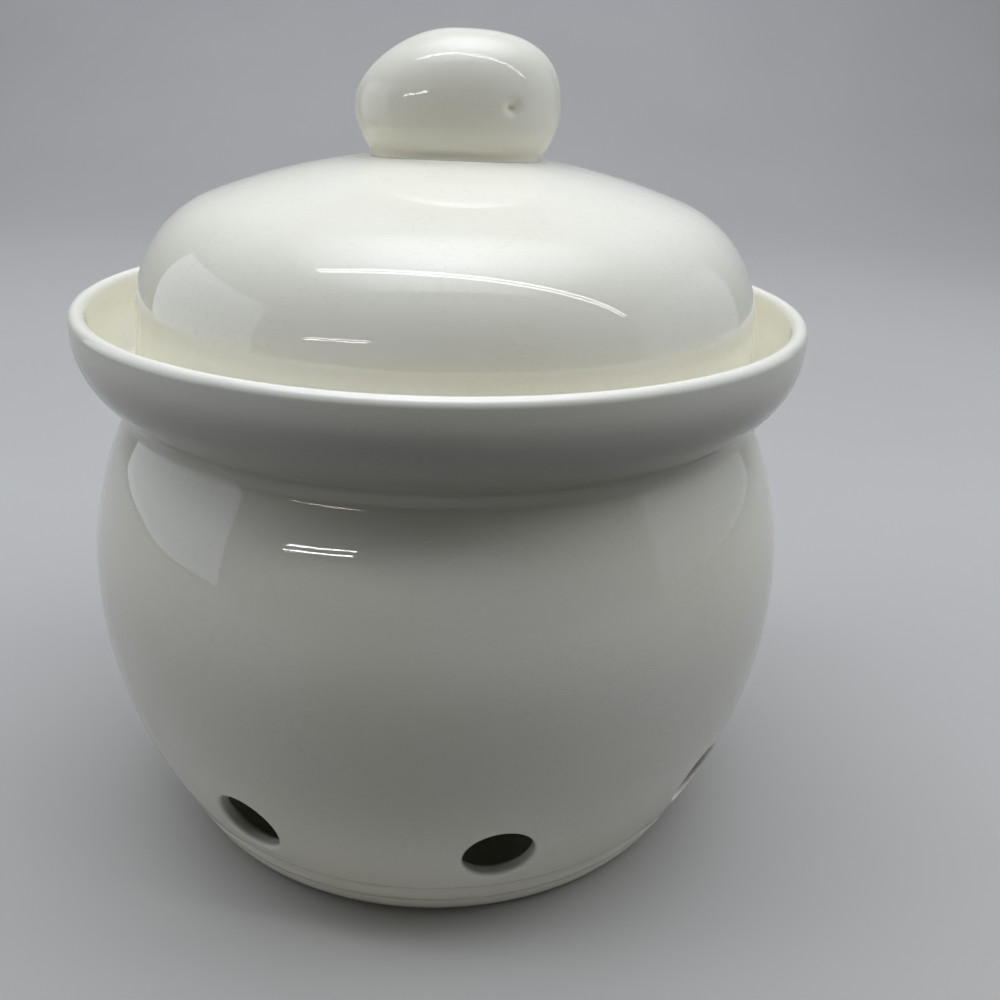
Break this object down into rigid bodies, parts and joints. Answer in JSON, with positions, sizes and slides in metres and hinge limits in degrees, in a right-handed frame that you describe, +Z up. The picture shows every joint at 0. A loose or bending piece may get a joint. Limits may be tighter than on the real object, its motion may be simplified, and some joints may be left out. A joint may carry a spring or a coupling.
{
  "type": "potato canister",
  "caption": "Round-bellied glazed ceramic keeper for potatoes, with air vents round its foot, a flared collar and a domed lift-off lid with a potato-shaped knob.",
  "frame": {"origin": "centre of the foot ring's resting face", "axes": "+Z up along the pot's axis, +X to the right along the knob's length, -Y towards the front"},
  "size_m": [0.2506, 0.2506, 0.2754],
  "materials": {
    "cream_glaze": "glossy clear glaze over a warm off-white body, finely crazed"
  },
  "bodies": {
    "pot": {"pot": "cream_glaze"},
    "lid": {"lid": "cream_glaze", "knob": "cream_glaze"}
  },
  "joints": [
    {"name": "lid_lift", "type": "slide", "parent": "pot", "child": "lid", "axis": [0, 0, 1], "range_m": [0, 0.2]}
  ]
}
